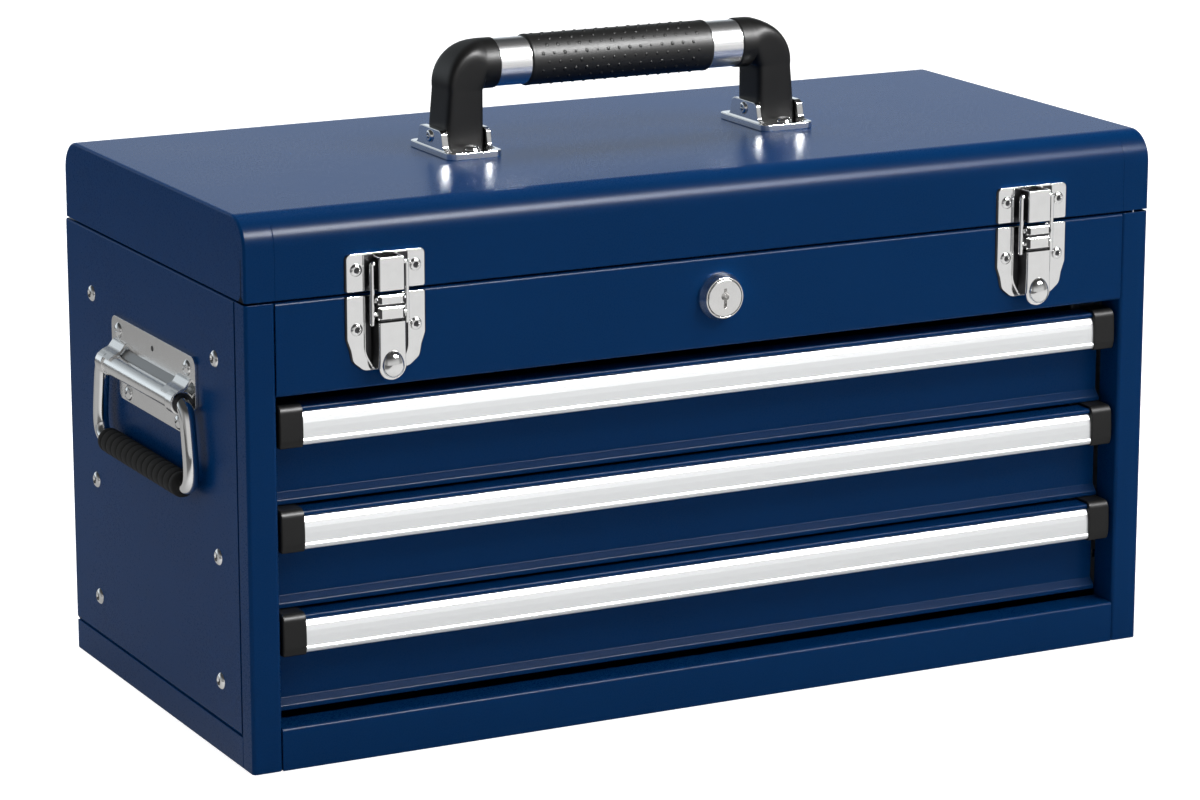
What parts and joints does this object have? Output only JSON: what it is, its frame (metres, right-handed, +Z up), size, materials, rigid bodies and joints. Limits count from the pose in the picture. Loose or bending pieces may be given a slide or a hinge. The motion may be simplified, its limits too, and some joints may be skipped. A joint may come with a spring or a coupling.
{
  "type": "portable tool box with drawers",
  "caption": "Portable steel tool box with sliding drawers under a hinged lid, draw latches, a cam lock, a top carry handle and folding side handles.",
  "frame": {"origin": "middle of the base, on the surface that the box stands on", "axes": "+X to the right along the front, +Y from the front to the back, +Z up"},
  "size_m": [0.5468, 0.2637, 0.3382],
  "materials": {
    "blue_paint": "semi-gloss navy powder coat",
    "zinc_steel": "bright zinc plated sheet steel",
    "bright_chrome": "polished nickel and chrome plate",
    "satin_aluminium": "satin anodised extrusion and tube",
    "black_plastic": "moulded, fine satin texture",
    "black_rubber": "matt, pimpled or ribbed"
  },
  "bodies": {
    "case": {"bottom_pan": "blue_paint", "side_panel_left": "blue_paint", "side_panel_right": "blue_paint", "back_panel": "blue_paint", "post_left": "blue_paint", "post_right": "blue_paint", "bottom_rail": "blue_paint", "lock_panel": "blue_paint", "till_tray": "blue_paint", "slide_uprights": "zinc_steel", "slide_rails": "zinc_steel", "case_rivets": "bright_chrome", "hinge_body_leaf": "zinc_steel", "hinge_pin": "bright_chrome", "lock_housing": "bright_chrome", "lock_nut": "zinc_steel", "latch_base_left": "bright_chrome", "latch_base_right": "bright_chrome", "latch_pins": "bright_chrome", "side_plate_left": "bright_chrome", "side_plate_right": "bright_chrome", "side_plate_screws": "bright_chrome"},
    "lid": {"lid_shell": "blue_paint", "lid_end_left": "blue_paint", "lid_end_right": "blue_paint", "hinge_lid_leaf": "zinc_steel", "latch_keepers": "bright_chrome", "keeper_rivets": "bright_chrome", "lock_strike": "zinc_steel", "handle_feet": "bright_chrome", "handle_screws": "bright_chrome", "handle_elbow_left": "black_plastic", "handle_elbow_right": "black_plastic", "handle_tube": "satin_aluminium", "handle_grip": "black_rubber"},
    "drawer_top": {"drawer_tray_top": "blue_paint", "drawer_front_top": "blue_paint", "drawer_bar_top": "satin_aluminium", "drawer_caps_top": "black_plastic", "drawer_runners_top": "zinc_steel"},
    "drawer_middle": {"drawer_tray_middle": "blue_paint", "drawer_front_middle": "blue_paint", "drawer_bar_middle": "satin_aluminium", "drawer_caps_middle": "black_plastic", "drawer_runners_middle": "zinc_steel"},
    "drawer_bottom": {"drawer_tray_bottom": "blue_paint", "drawer_front_bottom": "blue_paint", "drawer_bar_bottom": "satin_aluminium", "drawer_caps_bottom": "black_plastic", "drawer_runners_bottom": "zinc_steel"},
    "latch_lever_left": {"latch_lever_left": "bright_chrome"},
    "latch_lever_right": {"latch_lever_right": "bright_chrome"},
    "latch_bail_left": {"latch_bail_left": "bright_chrome"},
    "latch_bail_right": {"latch_bail_right": "bright_chrome"},
    "side_handle_left": {"side_bail_left": "bright_chrome", "side_grip_left": "black_rubber"},
    "side_handle_right": {"side_bail_right": "bright_chrome", "side_grip_right": "black_rubber"},
    "lock_core": {"lock_plug": "bright_chrome", "lock_cam": "zinc_steel"}
  },
  "joints": [
    {"name": "lid_hinge", "type": "hinge", "parent": "case", "child": "lid", "pos_m": [0, 0.1252, 0.2376], "axis": [-1, 0, 0], "range_deg": [0, 100]},
    {"name": "drawer_top_slide", "type": "slide", "parent": "case", "child": "drawer_top", "axis": [0, -1, 0], "range_m": [0, 0.175]},
    {"name": "drawer_middle_slide", "type": "slide", "parent": "case", "child": "drawer_middle", "axis": [0, -1, 0], "range_m": [0, 0.175]},
    {"name": "drawer_bottom_slide", "type": "slide", "parent": "case", "child": "drawer_bottom", "axis": [0, -1, 0], "range_m": [0, 0.175]},
    {"name": "latch_lever_left_pivot", "type": "hinge", "parent": "case", "child": "latch_lever_left", "pos_m": [-0.186, -0.1283, 0.2344], "axis": [-1, 0, 0], "range_deg": [0, 110]},
    {"name": "latch_bail_left_pivot", "type": "hinge", "parent": "latch_lever_left", "child": "latch_bail_left", "pos_m": [-0.186, -0.1279, 0.2276], "axis": [-1, 0, 0], "range_deg": [-137.5, 0]},
    {"name": "latch_lever_right_pivot", "type": "hinge", "parent": "case", "child": "latch_lever_right", "pos_m": [0.186, -0.1283, 0.2344], "axis": [-1, 0, 0], "range_deg": [0, 110]},
    {"name": "latch_bail_right_pivot", "type": "hinge", "parent": "latch_lever_right", "child": "latch_bail_right", "pos_m": [0.186, -0.1279, 0.2276], "axis": [-1, 0, 0], "range_deg": [-137.5, 0]},
    {"name": "side_handle_left_pivot", "type": "hinge", "parent": "case", "child": "side_handle_left", "pos_m": [-0.2668, -0.003, 0.1754], "axis": [0, 1, 0], "range_deg": [0, 90]},
    {"name": "side_handle_right_pivot", "type": "hinge", "parent": "case", "child": "side_handle_right", "pos_m": [0.2668, -0.003, 0.1754], "axis": [0, -1, 0], "range_deg": [0, 90]},
    {"name": "lock_turn", "type": "hinge", "parent": "case", "child": "lock_core", "pos_m": [0, -0.1225, 0.2165], "axis": [0, 1, 0], "range_deg": [0, 90]}
  ],
  "couplings": [
    {"joint": "latch_bail_left_pivot", "follows": "latch_lever_left_pivot", "ratio": -1.25},
    {"joint": "latch_bail_right_pivot", "follows": "latch_lever_right_pivot", "ratio": -1.25}
  ]
}
